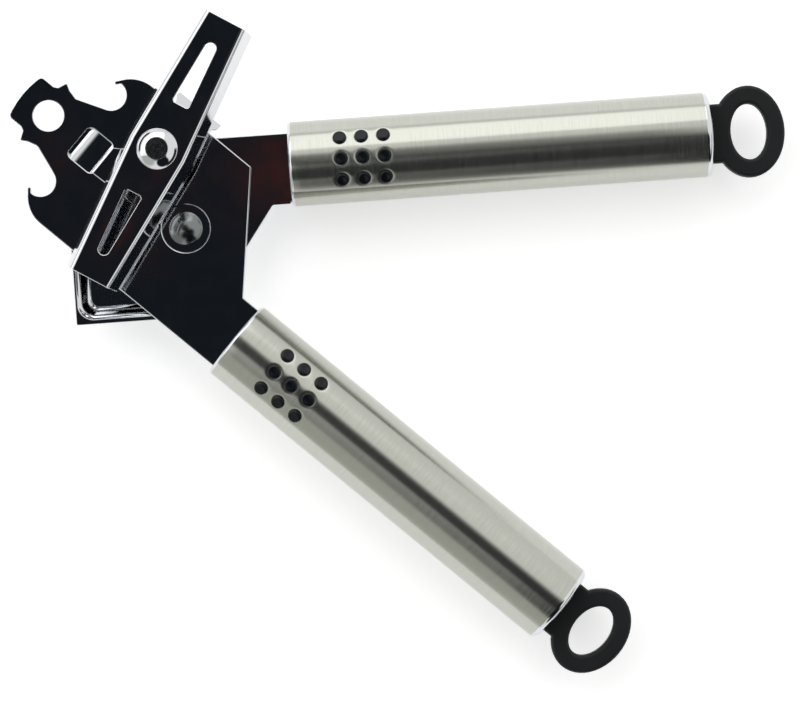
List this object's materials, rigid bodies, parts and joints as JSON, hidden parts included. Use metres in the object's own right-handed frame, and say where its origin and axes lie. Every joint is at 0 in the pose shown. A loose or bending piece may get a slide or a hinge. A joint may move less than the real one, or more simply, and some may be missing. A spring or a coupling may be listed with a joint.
{
  "type": "manual can opener",
  "caption": "Plier-style manual can opener with tubular steel handles, a winged turning key that drives a toothed feed wheel, a cutting disc and a bottle-opening head.",
  "frame": {"origin": "centre of the round hanging hole in the front plate, halfway through the plate", "axes": "+X along the front handle from the bottle-opening head to its hanging ring, +Z out of the front plate towards the turning key, +Y towards the side where the rear handle opens"},
  "size_m": [0.2112, 0.16, 0.0325],
  "materials": {
    "front_sheet": "mirror-bright plating on pressed sheet",
    "rear_sheet": "mirror-bright plating on pressed sheet",
    "key_sheet": "mirror-bright plating on folded sheet",
    "boss_metal": "mirror-bright plating",
    "handle_steel": "brushed round the tube",
    "rivet_steel": "polished",
    "washer_steel": "satin",
    "hard_steel": "hardened and ground",
    "bushing_metal": "oiled sintered metal",
    "core_plastic": "moulded",
    "ring_plastic": "fine moulded satin",
    "grip_rubber": "soft satin"
  },
  "bodies": {
    "front_lever": {"front_plate": "front_sheet", "front_tube": "handle_steel", "front_collar": "washer_steel", "front_core": "core_plastic", "front_grip_pad": "grip_rubber", "front_end_ring": "ring_plastic", "pivot_rivet": "rivet_steel", "pivot_washer": "washer_steel", "pivot_back_washer": "washer_steel", "drive_bushing": "bushing_metal"},
    "rear_lever": {"rear_plate": "rear_sheet", "rear_tube": "handle_steel", "rear_collar": "washer_steel", "rear_core": "core_plastic", "rear_grip_pad": "grip_rubber", "rear_end_ring": "ring_plastic", "cutter_rivet": "rivet_steel", "cutter_spacer": "washer_steel", "cutter_washer": "washer_steel"},
    "key_drive": {"key": "key_sheet", "key_boss": "boss_metal", "drive_shaft": "rivet_steel", "thrust_washer": "washer_steel", "feed_wheel": "hard_steel", "feed_nut": "washer_steel"},
    "cutter": {"cutter_wheel": "hard_steel"}
  },
  "joints": [
    {"name": "lever_pivot", "type": "hinge", "parent": "front_lever", "child": "rear_lever", "pos_m": [0.046, 0, 0], "axis": [0, 0, 1], "range_deg": [-43.5, 7]},
    {"name": "key_turn", "type": "hinge", "parent": "front_lever", "child": "key_drive", "pos_m": [0.029, 0.0112, 0], "axis": [0, 0, 1], "continuous": true},
    {"name": "cutter_spin", "type": "hinge", "parent": "rear_lever", "child": "cutter", "pos_m": [0.03539, -0.01498, 0], "axis": [0, 0, 1], "continuous": true}
  ]
}
